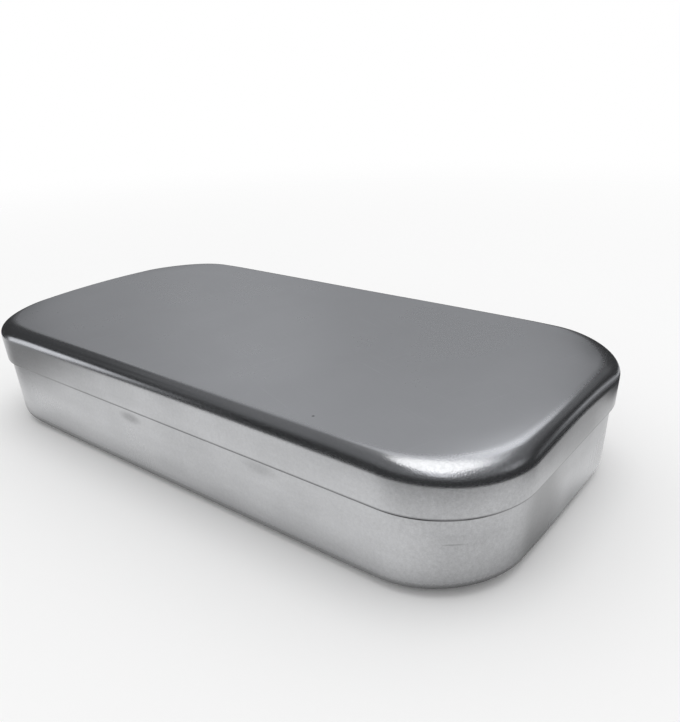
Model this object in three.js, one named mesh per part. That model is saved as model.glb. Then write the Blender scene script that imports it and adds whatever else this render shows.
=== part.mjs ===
// Surgical instrument box: a deep-drawn stainless steel pan and a lid that slips over it.
// Millimetres, +Z up. The origin is under the middle of the pan's flat bottom, where the box
// stands; +X runs along the length, and the lid lifts straight up along +Z.
import * as THREE from 'three';

// Pan, measured outside. This is the size that such a box is sold by.
const PAN_LENGTH = 180;
const PAN_WIDTH = 90;
const PAN_HEIGHT = 30;
const PAN_EDGE_RADIUS = 4;

// Lid: its skirt stands off the pan's wall by the clearance, all the way round.
const LID_CLEARANCE = 0.4;
const LID_DEPTH = 12;
const LID_EDGE_RADIUS = 4;
const LID_CORNER_RADIUS = 24;

// Both pieces are drawn from the same sheet, and their trimmed rims are polished round.
const SHEET = 0.6;
const RIM_RADIUS = SHEET / 2;

// Play left between the pan's rim and the bend inside the lid, where the lid comes to rest.
const SEAT_GAP = 0.3;

// Facets in each quarter turn of a corner, of an edge bend, and in the half turn of a rim.
const CORNER_STEPS = 12;
const BEND_STEPS = 6;
const RIM_STEPS = 4;

// The lid follows the pan's plan at a constant offset, so their corners share their centres.
const LID_OFFSET = SHEET + LID_CLEARANCE;
const LID_LENGTH = PAN_LENGTH + 2 * LID_OFFSET;
const LID_WIDTH = PAN_WIDTH + 2 * LID_OFFSET;
const PAN_CORNER_RADIUS = LID_CORNER_RADIUS - LID_OFFSET;

// Height of the closed box. The lid drops until the bend inside it comes to the pan's rim, so
// the rim's centre lies on a circle about the bend's centre, a little above that centre.
function closedHeight() {
  const reach = LID_EDGE_RADIUS - SHEET - RIM_RADIUS - SEAT_GAP;
  const sideways = LID_EDGE_RADIUS - LID_OFFSET - RIM_RADIUS;
  const rimAboveBend = Math.sqrt(reach ** 2 - sideways ** 2);
  const rimCentre = PAN_HEIGHT - RIM_RADIUS;
  return rimCentre - rimAboveBend + LID_EDGE_RADIUS;
}

// Points of an arc in the wall's section, where x is outward and y is up.
function arcPoints(centreX, centreY, radius, startAngle, endAngle, steps) {
  const points = [];
  for (let step = 0; step <= steps; step += 1) {
    const angle = startAngle + ((endAngle - startAngle) * step) / steps;
    const x = centreX + radius * Math.cos(angle);
    const y = centreY + radius * Math.sin(angle);
    points.push(new THREE.Vector2(x, y));
  }
  return points;
}

// Section of a drawn wall, from the flat underneath, round the bend, up the outside, over the
// rim and down the inside to the floor. x is 0 at the outer face and negative inward.
function wallSection(depth, edgeRadius) {
  const quarter = Math.PI / 2;
  const innerRadius = edgeRadius - SHEET;
  return [
    ...arcPoints(-edgeRadius, edgeRadius, edgeRadius, -quarter, 0, BEND_STEPS),
    ...arcPoints(-RIM_RADIUS, depth - RIM_RADIUS, RIM_RADIUS, 0, 2 * quarter, RIM_STEPS),
    ...arcPoints(-edgeRadius, edgeRadius, innerRadius, 0, -quarter, BEND_STEPS),
  ];
}

// One turn round a rectangle with rounded corners, moved outward by the section's x.
function planRing(length, width, cornerRadius, sectionPoint) {
  const radius = cornerRadius + sectionPoint.x;
  const ring = [];
  for (let corner = 0; corner < 4; corner += 1) {
    const signX = corner === 0 || corner === 3 ? 1 : -1;
    const signY = corner < 2 ? 1 : -1;
    const centreX = signX * (length / 2 - cornerRadius);
    const centreY = signY * (width / 2 - cornerRadius);
    for (let step = 0; step <= CORNER_STEPS; step += 1) {
      const angle = (Math.PI / 2) * (corner + step / CORNER_STEPS);
      const x = centreX + radius * Math.cos(angle);
      const y = centreY + radius * Math.sin(angle);
      ring.push(new THREE.Vector3(x, y, sectionPoint.y));
    }
  }
  return ring;
}

// A drawn tray, open at the top and standing on z = 0: its wall section is carried round its
// plan, and flat sheets close the underside and the floor.
function drawnTray({ length, width, depth, edgeRadius, cornerRadius }) {
  const section = wallSection(depth, edgeRadius);
  const rings = section.map((point) => planRing(length, width, cornerRadius, point));
  const around = rings[0].length;
  const underside = new THREE.Vector3(0, 0, 0);
  const floor = new THREE.Vector3(0, 0, SHEET);
  const vertices = [...rings.flat(), underside, floor];
  const undersideIndex = rings.length * around;
  const floorIndex = undersideIndex + 1;
  const lastRing = (rings.length - 1) * around;

  const faces = [];
  for (let place = 0; place < around; place += 1) {
    const next = (place + 1) % around;
    for (let row = 0; row < lastRing; row += around) {
      const above = row + around;
      faces.push(row + place, row + next, above + next);
      faces.push(row + place, above + next, above + place);
    }
    faces.push(undersideIndex, next, place);
    faces.push(floorIndex, lastRing + place, lastRing + next);
  }

  const geometry = new THREE.BufferGeometry().setFromPoints(vertices);
  geometry.setIndex(faces);
  geometry.computeVertexNormals();
  return geometry;
}

// Satin stainless steel, a neutral grey.
function satinSteel() {
  return new THREE.MeshStandardMaterial({ color: 0xb9babc, roughness: 0.35, metalness: 1 });
}

// The pan holds the instruments and stands on its flat bottom.
function makePan() {
  const geometry = drawnTray({
    length: PAN_LENGTH,
    width: PAN_WIDTH,
    depth: PAN_HEIGHT,
    edgeRadius: PAN_EDGE_RADIUS,
    cornerRadius: PAN_CORNER_RADIUS,
  });
  const pan = new THREE.Mesh(geometry, satinSteel());
  pan.name = 'base_pan';
  return pan;
}

// The lid is a shallower tray turned over, seated on the pan's rim.
function makeLid() {
  const geometry = drawnTray({
    length: LID_LENGTH,
    width: LID_WIDTH,
    depth: LID_DEPTH,
    edgeRadius: LID_EDGE_RADIUS,
    cornerRadius: LID_CORNER_RADIUS,
  });
  const lid = new THREE.Mesh(geometry, satinSteel());
  lid.name = 'lid';
  lid.rotation.x = Math.PI;
  lid.position.z = closedHeight();
  return lid;
}

const instrumentBox = new THREE.Group();
instrumentBox.add(makePan(), makeLid());

export default instrumentBox;
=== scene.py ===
import math
from collections import namedtuple

import bmesh
import bpy
from mathutils import Matrix, Vector, noise


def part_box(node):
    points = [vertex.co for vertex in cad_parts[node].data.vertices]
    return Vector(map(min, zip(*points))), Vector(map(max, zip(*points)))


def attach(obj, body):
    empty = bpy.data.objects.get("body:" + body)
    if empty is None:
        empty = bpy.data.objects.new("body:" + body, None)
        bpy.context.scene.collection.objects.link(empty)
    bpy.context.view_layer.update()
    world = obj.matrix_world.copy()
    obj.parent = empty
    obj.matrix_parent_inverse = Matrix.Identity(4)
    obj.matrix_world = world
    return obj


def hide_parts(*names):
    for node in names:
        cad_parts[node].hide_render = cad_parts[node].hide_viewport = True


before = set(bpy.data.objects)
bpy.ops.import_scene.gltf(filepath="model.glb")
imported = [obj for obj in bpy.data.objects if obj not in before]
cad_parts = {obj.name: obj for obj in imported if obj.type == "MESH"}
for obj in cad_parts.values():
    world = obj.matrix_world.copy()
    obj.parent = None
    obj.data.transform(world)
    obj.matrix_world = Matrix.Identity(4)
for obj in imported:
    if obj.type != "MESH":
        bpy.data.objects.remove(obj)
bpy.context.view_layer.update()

MM = 0.001

# The drawn sheet: its thickness, the bend round the foot of each piece, and the plan's corners.
# The press leaves the bend wider at the corners, by a share of its radius, and the flat a little
# drawn down there, over a share of the way to its middle. Both run on a little along the sides,
# and the flat is drawn down most a little way from the corner's middle toward the short side.
# The droop grows on round the bend, so that its slope runs on smoothly, and dies out at the rim.
# The sheet's inner face takes a part of it only, so that the lid stays clear of the pan's rim.
SHEET = 0.6 * MM
PAN_EDGE_RADIUS = 4 * MM
LID_EDGE_RADIUS = 4 * MM
LID_CORNER_RADIUS = 24 * MM
PAN_CORNER_RADIUS = 23 * MM
CORNER_SPREAD = 12 * MM
CORNER_EASE = 0.6
CORNER_DROOP = 0.28 * MM
CORNER_DROOP_REACH = 0.13
CORNER_DROOP_GROWTH = 1.85
CORNER_DROOP_INSIDE = 0.35
CORNER_LEAN = 10 * MM

# How finely the surfaces are divided, and how the rings on a flat crowd toward its edge.
CORNER_STEPS = 40
BEND_STEPS = 18
RIM_STEPS = 8
WALL_STEPS = 24
FLAT_STEPS = 18
FLAT_CROWDING = 1.5
SIDE_STEP = 2 * MM
STAGE_SEGMENTS = 96

# Points nearer than this become one point, and then edges shorter than this are taken out.
MERGE_DISTANCE = 0.01 * MM
SHORTEST_EDGE = 0.001 * MM

# Unevenness of the drawn sheet: how far it wanders, over what length, and the seed of its noise.
SHEET_WANDER = 0.06 * MM
SHEET_WANDER_LENGTH = 38 * MM
SHEET_WANDER_SEED = 1

# Shallow dents in the pan's front wall: along the wall, up it, half length, half height, depth.
PAN_DENTS = [
    (-14 * MM, 18 * MM, 4.5 * MM, 1.6 * MM, 0.10 * MM),
    (34 * MM, 18.5 * MM, 5.5 * MM, 1.8 * MM, 0.06 * MM),
]

# Darkening in the dents, more where a dent is deeper: the depth at which it would be black, and how
# far it reaches, in half lengths and half heights of its dent and inward from the wall.
DENT_DARKENING_BLACK_DEPTH = 0.35 * MM
DENT_DARKENING_REACH = 1.3
DENT_DARKENING_REACH_INWARD = 10 * SHEET

# A darker patch on the pan's right wall, a short level scratch on its front right corner, and a dark
# speck on the lid: the centre, the reach along each axis and the darkness of each.
PAN_DARK_PATCH = Vector((90, -15, 11)) * MM
PAN_DARK_PATCH_REACH = Vector((15, 15, 30)) * MM
PAN_DARK_PATCH_DARKNESS = 0.33
PAN_SCRATCH = Vector((81.9, -39.5, 14.4)) * MM
PAN_SCRATCH_REACH = (3.5 * MM, 3.5 * MM, 0.3 * MM)
PAN_SCRATCH_DARK = 0.25
LID_SPECK = Vector((46.3, -39.0, 33.0)) * MM
LID_SPECK_REACH = (0.5 * MM, 0.5 * MM, SHEET)
LID_SPECK_DARK = 0.7

# Share of a spot's reach over which it is full.
SPOT_CORE = 0.2

# Painted shadow of the lid's rim on the pan, a thin dark line: how far below the rim it runs, the
# distances from it at which it starts to fade and is gone, the size and noise band of its broken
# stretches, its darkness there and elsewhere, and the stretch over which it fades to a last share
# at the left.
SEAM_SHADOW_BELOW_RIM = 0.6 * MM
SEAM_SHADOW_EDGE = (0.05 * MM, 0.3 * MM)
SEAM_SHADOW_BREAK_SIZE = 9 * MM
SEAM_SHADOW_BREAK_BAND = (0.3, 0.5)
SEAM_SHADOW_DARK = (0.7, 0.95)
SEAM_SHADOW_FADE = (-75 * MM, 0)
SEAM_SHADOW_LAST_SHARE = 0.15

# Satin stainless steel: its colour, its lightness and roughness before the textures below are
# added, painted shade on each trimmed rim along the seam, and what a bend adds to the roughness.
STEEL_COLOUR = (0.56, 0.565, 0.577)
STEEL_LIGHTNESS = 0.99
STEEL_ROUGHNESS = 0.21
PAN_RIM_PAINTED_SHADE = 0.0
LID_RIM_PAINTED_SHADE = 0.5
BEND_ROUGHNESS = -0.08

# Middle value of the noise that the textures are made of.
NOISE_MIDDLE = 0.5

# Wide clouds and smudges from handling: their size, and what they add to lightness and roughness.
CLOUD_SIZE = 42 * MM
CLOUD_LIGHTNESS = 0.08
CLOUD_ROUGHNESS = 0.06
SMUDGE_SIZE = 19 * MM
SMUDGE_DETAIL = 2.5
SMUDGE_BAND = (0.35, 0.75)
SMUDGE_LIGHTNESS_FLAT = -0.03
SMUDGE_LIGHTNESS_WALL = -0.1
SMUDGE_ROUGHNESS = 0.06

# Level smears on the walls, and mottling of two sizes, strongest on the walls' corners.
SMEAR_STRETCH = (0.15, 0.15, 1)
SMEAR_SIZE = 3.5 * MM
SMEAR_DETAIL = 3.0
SMEAR_LIGHTNESS = 0.16
MOTTLING_SIZES = (0.35 * MM, 0.9 * MM)
MOTTLING_FLAT = 0.02
MOTTLING_WALL = 0.15
MOTTLING_CORNER = 0.16

# Hair-fine scratches that run two ways, at these turns in radians.
HAIRLINE_TURNS = (0.35, 1.9)
HAIRLINE_STRETCH = (0.012, 1, 1)
HAIRLINE_SIZE = 0.35 * MM
HAIRLINE_BAND = (0.76, 0.82)
HAIRLINE_LIGHTNESS = 0.05

# Upright streaks from the drawing, and the relief, with heights in millimetres: satin grain, the
# streaks, and a coarser peel on the corners.
STREAK_STRETCH = (1, 1, 0.03)
STREAK_SIZE = 0.9 * MM
STREAK_DETAIL = 3.0
STREAK_ROUGHNESS = 0.04
STREAK_RELIEF = 0.0015
GRAIN_SIZE = 0.28 * MM
GRAIN_RELIEF = 0.002
PEEL_SIZE = 0.32 * MM
PEEL_RELIEF_BEND = 0.028
PEEL_RELIEF_WALL = 0.012

# The view: the photograph's height and optical centre in pixels, and where the camera stands.
PHOTO_HEIGHT = 722
OPTICAL_CENTRE_DOWN = 450
FOCAL_PIXELS = 674
CAMERA_PLACE = Vector((132.0, -136.5, 98.0)) * MM
CAMERA_AZIMUTH = math.radians(38.90)
CAMERA_ELEVATION = math.radians(29.61)
CAMERA_ROLL = math.radians(2.31)
CAMERA_NEAREST = 1 * MM
CAMERA_FARTHEST = 100
SENSOR_MM = 36

# The studio: a pale floor that fades into an even white world, and a softbox overhead.
FLOOR_COLOUR = (0.95, 0.95, 0.95)
FLOOR_RADIUS = 0.7
FLOOR_FADE_START = 0.14
WORLD_FILL = 0.8
SOFTBOX_SIZE = 0.97
SOFTBOX_RADIANCE = 1.5
SOFTBOX_DISTANCE = 1.2
SOFTBOX_AZIMUTH = 75
SOFTBOX_ELEVATION = 84.5

# A tent that only mirrors see. Azimuth is 0 at the back and 90 at the right, in degrees, and
# elevation is seen from the box's lid. The cool grey cloth darkens toward the floor, and panels
# hang on it: azimuth, half width, elevation, half height, soft edge, brightness.
TENT_RADIUS = 3.0
TENT_COLOUR = (0.965, 0.98, 1.015)
TENT_EYE_HEIGHT = 30 * MM
TENT_LOW = 0.05
TENT_HIGH = 0.2
TENT_SHADE = (14, 44)
TENT_PANELS = [
    (-42, 27, 22, 20, 12, 0.35),
    (-42, 27, 36, 12, 14, 0.48),
    (-47, 7, 22, 5, 8, 0.55),
    (-3, 14, 45, 11, 6, 1.3),
    (-40, 24, 60, 8, 8, 0.8),
    (-90, 24, 28, 10, 6, 0.06),
    (-133, 12, 7, 8, 6, 0.02),
    (-121, 6, 1, 8, 5, 1.5),
    (30, 5, -6, 11, 5, 0.6),
    (40, 7, -3, 5, 5, 0.21),
    (17, 10, 24, 8, 8, 0.17),
    (20, 36, 60, 6, 7, 0.9),
    (75, 22, 56, 5, 8, 0.45),
    (66, 10, 27, 8, 6, 0.45),
    (135, 34, 63, 8, 8, 1.05),
    (134, 11, 51, 5, 7, 1.3),
]

# A table that only mirrors see: dark cloth, with a sheet of pale paper on it under the box. The
# paper has a margin round the box that widens toward the left, and at the right it is cut away
# where it lies beyond both of two straight edges: their direction and distance. It has painted light
# along its margin, and patches of painted shade and painted light: their centre, reach and
# brightness. The shade under the box's foot is narrower at one lit place. The table lies just above
# the floor.
TABLE_HEIGHT = 0.1 * MM
PAPER_COLOUR = (1, 1, 1)
PAPER_LIGHT = 0.89
PAPER_MARGIN = (39 * MM, 47 * MM)
PAPER_RIM = (22 * MM, 36 * MM)
PAPER_RIM_GAIN = 1.2
PAPER_WIDENS_FROM = 40 * MM
PAPER_WIDENING = 0.27
PAPER_CUTS = [((1, 0, 0), 109 * MM), ((0.82, 0.57, 0), 103.4 * MM)]
PAPER_CUT_SOFT = 2 * MM
PAPER_SHADE_AND_LIGHT_PATCHES = [
    (Vector((94, -36, 0)) * MM, Vector((30, 44, 44)) * MM, 0.68),
    (Vector((-140, -88, 0)) * MM, Vector((66, 66, 66)) * MM, 0.26),
    (Vector((-42, -79, 0)) * MM, Vector((34, 20, 20)) * MM, 0.97),
    (Vector((94, 64, 0)) * MM, Vector((16, 60, 60)) * MM, 0.8),
    (Vector((113, 70, 0)) * MM, Vector((12, 36, 36)) * MM, 1.3),
]
FOOT_SHADE_START = -8 * MM
FOOT_SHADE_END = 14 * MM
FOOT_LIT_END = 2 * MM
FOOT_LIT_CENTRE = Vector((96, 40, 0)) * MM
FOOT_LIT_REACH = Vector((20, 34, 34)) * MM


# Mesh building

# A point of a wall's section: distance outward, height, angle turned from the wall toward the
# flat, how much of the corner's droop it takes, and 1 or 0 for being on the rim and on the outside.
Section = namedtuple("Section", "out up turn droop rim outside")

# A place round the plan: the centre it turns about, its outward direction, how deep it is into a
# corner, and how far the flat is drawn down there.
Station = namedtuple("Station", "centre way corner drawn")


def inner_shares(steps):
    """Even shares between 0 and 1, without the ends."""
    return [step / steps for step in range(1, steps)]


def bend_section(edge_radius, radius, start, end):
    """The quarter turn between a wall and its flat."""
    points = []
    for step in range(BEND_STEPS + 1):
        angle = start + (end - start) * step / BEND_STEPS
        out = -edge_radius + radius * math.cos(angle)
        up = edge_radius + radius * math.sin(angle)
        droop = 1 + CORNER_DROOP_GROWTH * math.cos(angle)
        points.append(Section(out, up, abs(angle), droop, 0, 1))
    return points


def rim_section(depth):
    """The half turn over the rim."""
    radius = SHEET / 2
    points = []
    for step in range(RIM_STEPS + 1):
        angle = math.pi * step / RIM_STEPS
        out = -radius + radius * math.cos(angle)
        up = depth - radius + radius * math.sin(angle)
        points.append(Section(out, up, 0, 0, 1, 0))
    return points


def straight_section(out, depth, edge_radius):
    """The straight wall between the bend and the rim."""
    points = []
    for share in inner_shares(WALL_STEPS):
        up = edge_radius + (depth - SHEET / 2 - edge_radius) * share
        droop = (1 + CORNER_DROOP_GROWTH) * (1 - share)
        points.append(Section(out, up, 0, droop, 0, 1))
    return points


def wall_section(depth, edge_radius):
    """The wall from the flat underneath, up the outside, over the rim and down to the floor."""
    quarter = math.pi / 2
    outer_bend = bend_section(edge_radius, edge_radius, -quarter, 0)
    outer_wall = straight_section(0, depth, edge_radius)
    inner_wall = straight_section(-SHEET, depth, edge_radius)
    inner_bend = bend_section(edge_radius, edge_radius - SHEET, 0, -quarter)
    inside = []
    for point in inner_wall[::-1] + inner_bend:
        inside.append(point._replace(droop=point.droop * CORNER_DROOP_INSIDE, outside=0))
    return outer_bend + outer_wall + rim_section(depth) + inside


def corner_share(along, corner_radius):
    """How deep into a corner a place is, from its distance round the plan to the corner's middle."""
    reach = corner_radius * math.pi / 4 + CORNER_SPREAD
    return math.cos(math.pi / 2 * min(1, abs(along) / reach)) ** 2


def plan_stations(length, width, corner_radius):
    """Places round a rectangle with round corners."""
    reach_x = length / 2 - corner_radius
    reach_y = width / 2 - corner_radius
    half_turn = corner_radius * math.pi / 4
    signs = [(1, 1), (-1, 1), (-1, -1), (1, -1)]
    centres = [Vector((sign_x * reach_x, sign_y * reach_y)) for sign_x, sign_y in signs]
    stations = []

    def add_station(place, way, along, lean):
        """A place at a distance round the plan from the nearest corner's middle."""
        corner = corner_share(along, corner_radius)
        drawn = corner_share(along - lean, corner_radius)
        stations.append(Station(place, way, corner, drawn))

    for corner, centre in enumerate(centres):
        lean = CORNER_LEAN if corner % 2 else -CORNER_LEAN
        for step in range(CORNER_STEPS + 1):
            share = step / CORNER_STEPS
            angle = math.pi / 2 * (corner + share)
            way = Vector((math.cos(angle), math.sin(angle)))
            add_station(centre, way, half_turn * (2 * share - 1), lean)
        following = centres[(corner + 1) % 4]
        side = (following - centre).length
        for share in inner_shares(round(side / SIDE_STEP)):
            along = half_turn + side * min(share, 1 - share)
            add_station(centre.lerp(following, share), way, along, lean)
    return stations


def drawn_tray(name, length, width, depth, edge_radius, corner_radius):
    """A closed drawn tray, open at the top, standing on z = 0, with masks for its finish."""
    stations = plan_stations(length, width, corner_radius)
    spine = (length - width) / 2
    points = []
    masks = {"wall": [], "bend": [], "corner": [], "rim": [], "outside": []}

    def add_ring(section, drawn_in):
        """One turn round the plan; a flat's turn is drawn in toward a line along its middle."""
        flatness = 1 - math.cos(section.turn)
        for station in stations:
            ease = edge_radius * CORNER_EASE * station.corner * flatness
            place = station.centre + station.way * (corner_radius + section.out - ease)
            middle = Vector((max(-spine, min(spine, place.x)), 0))
            droop = CORNER_DROOP * station.drawn * section.droop
            droop *= max(0, 1 - drawn_in / CORNER_DROOP_REACH) ** 2
            up = Vector((0, 0, section.up + droop))
            points.append(place.lerp(middle, drawn_in).to_3d() + up)
            masks["wall"].append(1 - flatness)
            masks["bend"].append(math.sin(2 * section.turn))
            masks["corner"].append(station.corner * (1 - drawn_in))
            masks["rim"].append(section.rim)
            masks["outside"].append(section.outside)

    wall = wall_section(depth, edge_radius)
    shares = [(step / FLAT_STEPS) ** FLAT_CROWDING for step in range(1, FLAT_STEPS + 1)]
    for share in reversed(shares):
        add_ring(wall[0], share)
    for section in wall:
        add_ring(section, 0)
    for share in shares:
        add_ring(wall[-1], share)

    around = len(stations)
    faces = []
    for low in range(0, len(points) - around, around):
        high = low + around
        for place in range(around):
            following = (place + 1) % around
            faces.append((low + place, low + following, high + following, high + place))
    mesh = bpy.data.meshes.new(name)
    mesh.from_pydata(points, [], faces)
    for label, values in masks.items():
        mesh.attributes.new(label, "FLOAT", "POINT").data.foreach_set("value", values)
    return mesh


def finish_mesh(mesh):
    """Merges the points that meet along the spine and turns smooth shading on."""
    shaped = bmesh.new()
    shaped.from_mesh(mesh)
    bmesh.ops.remove_doubles(shaped, verts=shaped.verts, dist=MERGE_DISTANCE)
    bmesh.ops.dissolve_degenerate(shaped, edges=shaped.edges, dist=SHORTEST_EDGE)
    bmesh.ops.recalc_face_normals(shaped, faces=shaped.faces)
    for face in shaped.faces:
        face.smooth = True
    shaped.to_mesh(mesh)
    shaped.free()


def let_wander(mesh):
    """Moves the sheet a little out of true, both its faces alike, but not what stands on z = 0."""
    noise.seed_set(SHEET_WANDER_SEED)
    for vertex in mesh.vertices:
        shift = noise.noise_vector(vertex.co / SHEET_WANDER_LENGTH) * SHEET_WANDER
        shift.z *= min(1, vertex.co.z / PAN_EDGE_RADIUS)
        vertex.co += shift


def dent_front(mesh, front, dents):
    """Presses shallow dents into both faces of the wall that faces the front."""
    behind_wall = front + 2 * SHEET
    for vertex in mesh.vertices:
        if vertex.co.y > behind_wall:
            continue
        for along, up, half_length, half_height, depth in dents:
            far_along = (vertex.co.x - along) / half_length
            far_up = (vertex.co.z - up) / half_height
            vertex.co.y += depth * math.exp(-far_along ** 2 - far_up ** 2)


# Node building

def feed(tree, value, socket):
    """Links a socket to another socket's value, or sets it."""
    if isinstance(value, bpy.types.NodeSocket):
        tree.links.new(value, socket)
    else:
        socket.default_value = value


def add_node(tree, kind, inputs, **settings):
    """A shader node with its settings and inputs; an input is a value or another node's socket."""
    node = tree.nodes.new("ShaderNode" + kind)
    for name, value in settings.items():
        setattr(node, name, value)
    for name, value in inputs.items():
        feed(tree, value, node.inputs[name])
    return node


def worked_out(tree, operation, first, second=0.0):
    """The result of a Math node."""
    return add_node(tree, "Math", {0: first, 1: second}, operation=operation).outputs["Value"]


def product(tree, *values):
    """Values multiplied together."""
    result = values[0]
    for value in values[1:]:
        result = worked_out(tree, "MULTIPLY", result, value)
    return result


def total(tree, *values):
    """Values added together."""
    result = values[0]
    for value in values[1:]:
        result = worked_out(tree, "ADD", result, value)
    return result


def eased(tree, value, low, high, start=0.0, end=1.0):
    """A smooth step from start to end as a value goes from low to high."""
    limits = {"Value": value, "From Min": low, "From Max": high, "To Min": start, "To Max": end}
    return add_node(tree, "MapRange", limits, interpolation_type="SMOOTHSTEP").outputs["Result"]


def laid_over(tree, under, over, share):
    """One value laid over another, by a share between 0 and 1."""
    limits = {"Value": share, "To Min": under, "To Max": over}
    return add_node(tree, "MapRange", limits).outputs["Result"]


def vector_math(tree, operation, first, second=(0, 0, 0)):
    """The vector that a Vector Math node gives."""
    return add_node(tree, "VectorMath", {0: first, 1: second}, operation=operation).outputs["Vector"]


def dotted(tree, vector, way):
    """How far a vector goes along a direction."""
    return add_node(tree, "VectorMath", {0: vector, 1: way}, operation="DOT_PRODUCT").outputs["Value"]


def distance(tree, vector):
    """A vector's length."""
    return add_node(tree, "VectorMath", {0: vector}, operation="LENGTH").outputs["Value"]


def object_place(tree):
    """Coordinates in the frame of the solids."""
    return tree.nodes.new("ShaderNodeTexCoord").outputs["Object"]


def cloudy(tree, place, size, detail=2.0):
    """Noise between about 0 and 1, with features of one size, in metres."""
    inputs = {"Vector": place, "Scale": 1 / size, "Detail": detail}
    return add_node(tree, "TexNoise", inputs).outputs["Fac"]


def mask(tree, name):
    """One of the masks that came with the mesh."""
    return add_node(tree, "Attribute", {}, attribute_name=name).outputs["Fac"]


# Steel

def hairlines(tree, place, turn):
    """A few hair-fine scratches that run one way."""
    turned = add_node(tree, "VectorRotate", {"Vector": place, "Angle": turn}, rotation_type="Z_AXIS")
    stretched = vector_math(tree, "MULTIPLY", turned.outputs["Vector"], HAIRLINE_STRETCH)
    return eased(tree, cloudy(tree, stretched, HAIRLINE_SIZE, 0.0), *HAIRLINE_BAND)


def draw_streaks(tree, place):
    """Faint upright streaks, from drawing the sheet over the punch."""
    stretched = vector_math(tree, "MULTIPLY", place, STREAK_STRETCH)
    return cloudy(tree, stretched, STREAK_SIZE, STREAK_DETAIL)


def spot(tree, place, centre, reach):
    """A soft spot: 1 at its centre, 0 beyond its reach along each axis."""
    shares = vector_math(tree, "DIVIDE", vector_math(tree, "SUBTRACT", place, centre), reach)
    return eased(tree, distance(tree, shares), SPOT_CORE, 1.0, 1, 0)


def painted_seam_shadow(tree, place, height):
    """A thin painted shadow round the pan just under the lid's rim; it fades toward the left end."""
    off_line = worked_out(tree, "SUBTRACT", dotted(tree, place, (0, 0, 1)), height)
    line = eased(tree, worked_out(tree, "ABSOLUTE", off_line), *SEAM_SHADOW_EDGE, 1, 0)
    broken = eased(tree, cloudy(tree, place, SEAM_SHADOW_BREAK_SIZE), *SEAM_SHADOW_BREAK_BAND, *SEAM_SHADOW_DARK)
    along = eased(tree, dotted(tree, place, (1, 0, 0)), *SEAM_SHADOW_FADE, SEAM_SHADOW_LAST_SHARE, 1)
    return product(tree, line, broken, along)


def steel_relief(tree, place):
    """Height of the fine relief, in millimetres: satin grain, and coarser peel at the corners."""
    corner = mask(tree, "corner")
    on_bend = product(tree, corner, mask(tree, "bend"), PEEL_RELIEF_BEND)
    on_wall = product(tree, corner, mask(tree, "wall"), PEEL_RELIEF_WALL)
    grain = product(tree, cloudy(tree, place, GRAIN_SIZE), GRAIN_RELIEF)
    peel = product(tree, cloudy(tree, place, PEEL_SIZE, 1.0), total(tree, on_bend, on_wall))
    streaks = product(tree, draw_streaks(tree, place), STREAK_RELIEF)
    return total(tree, grain, peel, streaks)


def steel_lightness(tree, place):
    """How light the steel is: clouds, smudges, level smears, mottling and hair-fine scratches."""
    wall = mask(tree, "wall")
    clouds = product(tree, cloudy(tree, place, CLOUD_SIZE), CLOUD_LIGHTNESS)
    smudges = eased(tree, cloudy(tree, place, SMUDGE_SIZE, SMUDGE_DETAIL), *SMUDGE_BAND)
    smudged = laid_over(tree, SMUDGE_LIGHTNESS_FLAT, SMUDGE_LIGHTNESS_WALL, wall)
    smudges = product(tree, smudges, smudged)
    level = vector_math(tree, "MULTIPLY", place, SMEAR_STRETCH)
    smears = cloudy(tree, level, SMEAR_SIZE, SMEAR_DETAIL)
    smears = worked_out(tree, "SUBTRACT", smears, NOISE_MIDDLE)
    smears = product(tree, smears, wall, SMEAR_LIGHTNESS)
    specks = [cloudy(tree, place, size) for size in MOTTLING_SIZES]
    mottling = total(tree, *specks, -NOISE_MIDDLE * len(specks))
    mottled = laid_over(tree, MOTTLING_FLAT, MOTTLING_WALL, wall)
    on_corner = product(tree, wall, mask(tree, "corner"), MOTTLING_CORNER)
    mottling = product(tree, mottling, total(tree, mottled, on_corner))
    scratches = total(tree, *[hairlines(tree, place, turn) for turn in HAIRLINE_TURNS])
    scratches = product(tree, scratches, HAIRLINE_LIGHTNESS)
    return total(tree, STEEL_LIGHTNESS, clouds, smudges, smears, mottling, scratches)


def steel_roughness(tree, place):
    """Satin flats and walls, cloudy with handling, and smoother bends."""
    clouds = product(tree, cloudy(tree, place, CLOUD_SIZE), CLOUD_ROUGHNESS)
    smudges = product(tree, cloudy(tree, place, SMUDGE_SIZE, SMUDGE_DETAIL), SMUDGE_ROUGHNESS)
    streaks = product(tree, draw_streaks(tree, place), STREAK_ROUGHNESS)
    bends = product(tree, mask(tree, "bend"), BEND_ROUGHNESS)
    return total(tree, STEEL_ROUGHNESS, clouds, smudges, streaks, bends)


def satin_steel(name, rim_painted_shade, marks_and_painted_shade):
    """Satin stainless steel, with painted shade on the rim, and darker places outside: marks and
    painted shade.
    """
    material = bpy.data.materials.new(name)
    material.use_nodes = True
    tree = material.node_tree
    shader = tree.nodes["Principled BSDF"]
    shader.inputs["Metallic"].default_value = 1.0
    place = object_place(tree)
    # Painted shade on the rim, for the seam between lid and pan.
    darkened = [product(tree, mask(tree, "rim"), rim_painted_shade)]
    # Marks, and painted shade along the seam, only on the outside.
    for mark_or_shade in marks_and_painted_shade(tree, place):
        darkened.append(product(tree, mark_or_shade, mask(tree, "outside")))
    lightness = steel_lightness(tree, place)
    for dark in darkened:
        lightness = product(tree, lightness, worked_out(tree, "SUBTRACT", 1, dark))
    colour = add_node(tree, "VectorMath", {0: STEEL_COLOUR, "Scale": lightness}, operation="SCALE")
    feed(tree, colour.outputs["Vector"], shader.inputs["Base Color"])
    feed(tree, steel_roughness(tree, place), shader.inputs["Roughness"])
    relief = {"Height": steel_relief(tree, place), "Distance": MM, "Strength": 1.0}
    feed(tree, add_node(tree, "Bump", relief).outputs["Normal"], shader.inputs["Normal"])
    return material


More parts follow.
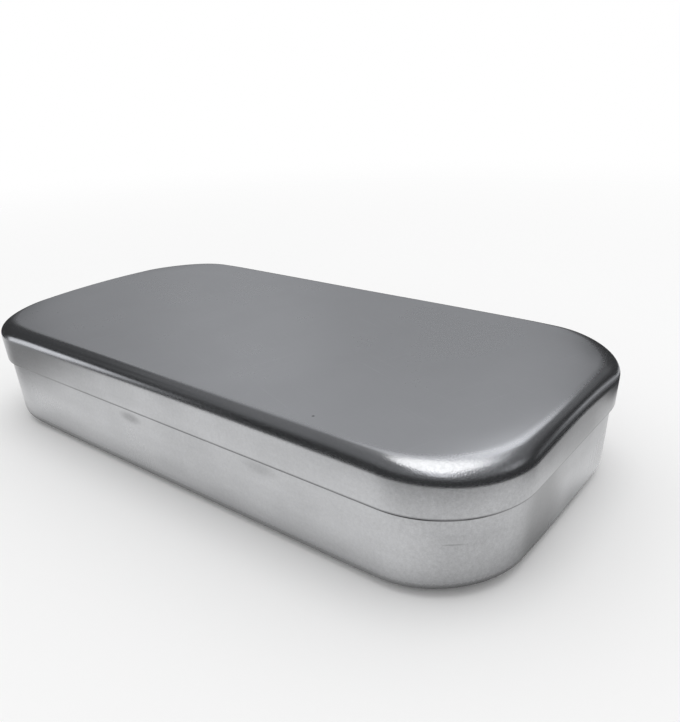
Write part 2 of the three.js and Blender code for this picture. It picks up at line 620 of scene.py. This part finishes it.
def pan_marks_and_seam_shadow(tree, place):
    """Painted shadow of the lid's rim, a darker patch, a scratch, and darkening in the front wall's
    dents.
    """
    lid_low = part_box("lid")[0]
    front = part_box("base_pan")[0].y
    dark_patch = product(tree, spot(tree, place, PAN_DARK_PATCH, PAN_DARK_PATCH_REACH), PAN_DARK_PATCH_DARKNESS)
    scratch = product(tree, spot(tree, place, PAN_SCRATCH, PAN_SCRATCH_REACH), PAN_SCRATCH_DARK)
    # The first is the painted shadow of the lid's rim.
    marks_and_shadow = [painted_seam_shadow(tree, place, lid_low.z - SEAM_SHADOW_BELOW_RIM), dark_patch, scratch]
    for along, up, half_length, half_height, depth in PAN_DENTS:
        reach = (DENT_DARKENING_REACH * half_length, DENT_DARKENING_REACH_INWARD, DENT_DARKENING_REACH * half_height)
        dent = spot(tree, place, (along, front, up), reach)
        marks_and_shadow.append(product(tree, dent, depth / DENT_DARKENING_BLACK_DEPTH))
    return marks_and_shadow


def lid_marks(tree, place):
    """One small dark speck near the front edge of the top."""
    return [product(tree, spot(tree, place, LID_SPECK, LID_SPECK_REACH), LID_SPECK_DARK)]


# Stage materials

def bare_material(name):
    """A material with nothing but its output: the material, its tree and the output's socket."""
    material = bpy.data.materials.new(name)
    material.use_nodes = True
    material.cycles.emission_sampling = "NONE"
    tree = material.node_tree
    tree.nodes.clear()
    return material, tree, tree.nodes.new("ShaderNodeOutputMaterial").inputs["Surface"]


def floor_paint():
    """Pale matt floor that fades out into the white around it."""
    material, tree, surface = bare_material("pale_floor")
    paint = add_node(tree, "BsdfDiffuse", {"Color": (*FLOOR_COLOUR, 1)}).outputs["BSDF"]
    clear = tree.nodes.new("ShaderNodeBsdfTransparent").outputs["BSDF"]
    share = eased(tree, distance(tree, object_place(tree)), FLOOR_FADE_START, FLOOR_RADIUS)
    mixed = add_node(tree, "MixShader", {0: share, 1: paint, 2: clear}).outputs["Shader"]
    feed(tree, mixed, surface)
    return material


def tent_glow(tree, place):
    """Brightness at a place of the tent's cloth and its panels, as the box's lid sees them."""
    way = vector_math(tree, "SUBTRACT", place, (0, 0, TENT_EYE_HEIGHT))
    way = vector_math(tree, "NORMALIZE", way)
    radians_up = worked_out(tree, "ARCSINE", dotted(tree, way, (0, 0, 1)))
    elevation = worked_out(tree, "DEGREES", radians_up)
    brightness = eased(tree, elevation, *TENT_SHADE, TENT_LOW, TENT_HIGH)
    for azimuth, half_width, up, half_height, soft, panel in TENT_PANELS:
        turn = math.radians(azimuth)
        ahead = dotted(tree, way, (math.sin(turn), math.cos(turn), 0))
        across = dotted(tree, way, (math.cos(turn), -math.sin(turn), 0))
        aside = worked_out(tree, "DEGREES", worked_out(tree, "ARCTAN2", across, ahead))
        aside = worked_out(tree, "ABSOLUTE", aside)
        above = worked_out(tree, "ABSOLUTE", worked_out(tree, "SUBTRACT", elevation, up))
        in_width = eased(tree, aside, half_width - soft / 2, half_width + soft / 2, 1, 0)
        in_height = eased(tree, above, half_height - soft / 2, half_height + soft / 2, 1, 0)
        brightness = laid_over(tree, brightness, panel, product(tree, in_width, in_height))
    return brightness


def beyond_foot(tree, place):
    """Distance beyond the pan's outline, on the floor."""
    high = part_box("base_pan")[1]
    core = (high.x - PAN_CORNER_RADIUS, high.y - PAN_CORNER_RADIUS, TENT_RADIUS)
    outside = vector_math(tree, "SUBTRACT", vector_math(tree, "ABSOLUTE", place), core)
    outside = distance(tree, vector_math(tree, "MAXIMUM", outside))
    return worked_out(tree, "SUBTRACT", outside, PAN_CORNER_RADIUS)


def paper_glow(tree, place):
    """Brightness of the paper, and how much of it there is at a place."""
    beyond = beyond_foot(tree, place)
    leftward = worked_out(tree, "SUBTRACT", PAPER_WIDENS_FROM, dotted(tree, place, (1, 0, 0)))
    widening = product(tree, worked_out(tree, "MAXIMUM", leftward), PAPER_WIDENING)
    margin = worked_out(tree, "SUBTRACT", beyond, widening)
    brightness = PAPER_LIGHT
    # Patches of painted shade and painted light on the paper.
    for centre, reach, painted_level in PAPER_SHADE_AND_LIGHT_PATCHES:
        brightness = laid_over(tree, brightness, painted_level, spot(tree, place, centre, reach))
    rim = eased(tree, margin, *PAPER_RIM, 1, PAPER_RIM_GAIN)
    lit = spot(tree, place, FOOT_LIT_CENTRE, FOOT_LIT_REACH)
    shade_end = laid_over(tree, FOOT_SHADE_END, FOOT_LIT_END, lit)
    foot = eased(tree, beyond, FOOT_SHADE_START, shade_end)
    kept = 0.0
    for way, edge in PAPER_CUTS:
        along = dotted(tree, place, way)
        inside = eased(tree, along, edge - PAPER_CUT_SOFT, edge + PAPER_CUT_SOFT, 1, 0)
        kept = worked_out(tree, "MAXIMUM", kept, inside)
    share = product(tree, eased(tree, margin, *PAPER_MARGIN, 1, 0), kept)
    return product(tree, brightness, rim, foot), share


def glow(tree, colour, brightness):
    """A surface that gives off its own light."""
    inputs = {"Color": (*colour, 1), "Strength": brightness}
    return add_node(tree, "Emission", inputs).outputs["Emission"]


def tent_cloth():
    """The tent's cloth with its panels."""
    material, tree, surface = bare_material("tent_cloth")
    feed(tree, glow(tree, TENT_COLOUR, tent_glow(tree, object_place(tree))), surface)
    return material


def table_top():
    """The tent's cloth carried on over the table, with the paper laid on it."""
    material, tree, surface = bare_material("table_top")
    place = object_place(tree)
    cloth = glow(tree, TENT_COLOUR, tent_glow(tree, place))
    brightness, share = paper_glow(tree, place)
    paper = glow(tree, PAPER_COLOUR, brightness)
    feed(tree, add_node(tree, "MixShader", {0: share, 1: cloth, 2: paper}).outputs["Shader"], surface)
    return material


# Pieces

def add_object(name, mesh, material):
    """Puts a mesh into the scene as an object of one material."""
    piece = bpy.data.objects.new(name, mesh)
    bpy.context.scene.collection.objects.link(piece)
    mesh.materials.append(material)
    return piece


def make_pan():
    """The pan, with dents in its front wall."""
    low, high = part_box("base_pan")
    mesh = drawn_tray("pan", *(high - low), PAN_EDGE_RADIUS, PAN_CORNER_RADIUS)
    dent_front(mesh, low.y, PAN_DENTS)
    let_wander(mesh)
    finish_mesh(mesh)
    pan = add_object("pan_shell", mesh, satin_steel("pan_satin_steel", PAN_RIM_PAINTED_SHADE, pan_marks_and_seam_shadow))
    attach(pan, "pan")
    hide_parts("base_pan")


def make_lid():
    """The lid: a shallower tray turned over."""
    low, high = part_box("lid")
    mesh = drawn_tray("lid", *(high - low), LID_EDGE_RADIUS, LID_CORNER_RADIUS)
    mesh.transform(Matrix.Translation((0, 0, high.z)) @ Matrix.Rotation(math.pi, 4, "X"))
    let_wander(mesh)
    finish_mesh(mesh)
    lid = add_object("lid_shell", mesh, satin_steel("lid_satin_steel", LID_RIM_PAINTED_SHADE, lid_marks))
    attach(lid, "lid")
    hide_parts("lid")


# Studio

def for_mirrors_only(thing):
    """Hides a stage piece from everything but mirroring surfaces."""
    thing.visible_camera = False
    thing.visible_diffuse = False
    thing.visible_shadow = False
    thing.visible_transmission = False


def disc_mesh(name, radius):
    """A flat round disc."""
    mesh = bpy.data.meshes.new(name)
    disc = bmesh.new()
    bmesh.ops.create_circle(disc, cap_ends=True, radius=radius, segments=STAGE_SEGMENTS)
    disc.to_mesh(mesh)
    disc.free()
    return mesh


def make_floor():
    """The pale floor that the box stands on."""
    floor = add_object("floor", disc_mesh("floor", FLOOR_RADIUS), floor_paint())


def make_table():
    """The table that the steel mirrors."""
    table = add_object("table", disc_mesh("table", TENT_RADIUS), table_top())
    table.location.z = TABLE_HEIGHT
    for_mirrors_only(table)


def make_tent():
    """The tent that the steel mirrors, as a sphere round the box."""
    mesh = bpy.data.meshes.new("tent")
    sphere = bmesh.new()
    rows = STAGE_SEGMENTS // 2
    bmesh.ops.create_uvsphere(sphere, u_segments=STAGE_SEGMENTS, v_segments=rows, radius=TENT_RADIUS)
    sphere.to_mesh(mesh)
    sphere.free()
    for_mirrors_only(add_object("tent", mesh, tent_cloth()))


def make_softbox():
    """The round softbox overhead, whose power gives its face one radiance."""
    light = bpy.data.lights.new("softbox", "AREA")
    light.shape = "DISK"
    light.size = SOFTBOX_SIZE
    light.energy = SOFTBOX_RADIANCE * math.pi * math.pi * (SOFTBOX_SIZE / 2) ** 2
    softbox = bpy.data.objects.new("softbox", light)
    azimuth = math.radians(SOFTBOX_AZIMUTH)
    elevation = math.radians(SOFTBOX_ELEVATION)
    way = Vector((
        math.sin(azimuth) * math.cos(elevation),
        math.cos(azimuth) * math.cos(elevation),
        math.sin(elevation),
    ))
    softbox.location = way * SOFTBOX_DISTANCE
    softbox.rotation_mode = "QUATERNION"
    softbox.rotation_quaternion = way.to_track_quat("Z", "Y")
    bpy.context.scene.collection.objects.link(softbox)


def make_world():
    """Even white light: full where it is seen, and a part of it as fill."""
    world = bpy.data.worlds.new("white_studio")
    world.use_nodes = True
    tree = world.node_tree
    background = tree.nodes["Background"]
    background.inputs["Color"].default_value = (1, 1, 1, 1)
    path = tree.nodes.new("ShaderNodeLightPath").outputs
    seen = worked_out(tree, "MAXIMUM", path["Is Camera Ray"], path["Is Glossy Ray"])
    seen = worked_out(tree, "MAXIMUM", seen, path["Is Transmission Ray"])
    feed(tree, laid_over(tree, WORLD_FILL, 1.0, seen), background.inputs["Strength"])
    bpy.context.scene.world = world


def make_camera():
    """The camera at the photograph's place, with its optical centre set off from the middle."""
    lens = bpy.data.cameras.new("camera")
    lens.sensor_width = SENSOR_MM
    lens.lens = FOCAL_PIXELS * SENSOR_MM / PHOTO_HEIGHT
    lens.shift_y = (OPTICAL_CENTRE_DOWN - PHOTO_HEIGHT / 2) / PHOTO_HEIGHT
    lens.clip_start = CAMERA_NEAREST
    lens.clip_end = CAMERA_FARTHEST
    camera = bpy.data.objects.new("camera", lens)
    turn = Matrix.Rotation(CAMERA_AZIMUTH, 4, "Z")
    tilt = Matrix.Rotation(math.pi / 2 - CAMERA_ELEVATION, 4, "X")
    roll = Matrix.Rotation(-CAMERA_ROLL, 4, "Z")
    camera.matrix_world = Matrix.Translation(CAMERA_PLACE) @ turn @ tilt @ roll
    bpy.context.scene.collection.objects.link(camera)
    bpy.context.scene.camera = camera


make_camera()
make_pan()
make_lid()
make_floor()
make_table()
make_tent()
make_softbox()
make_world()
bpy.context.scene.view_settings.view_transform = "Standard"
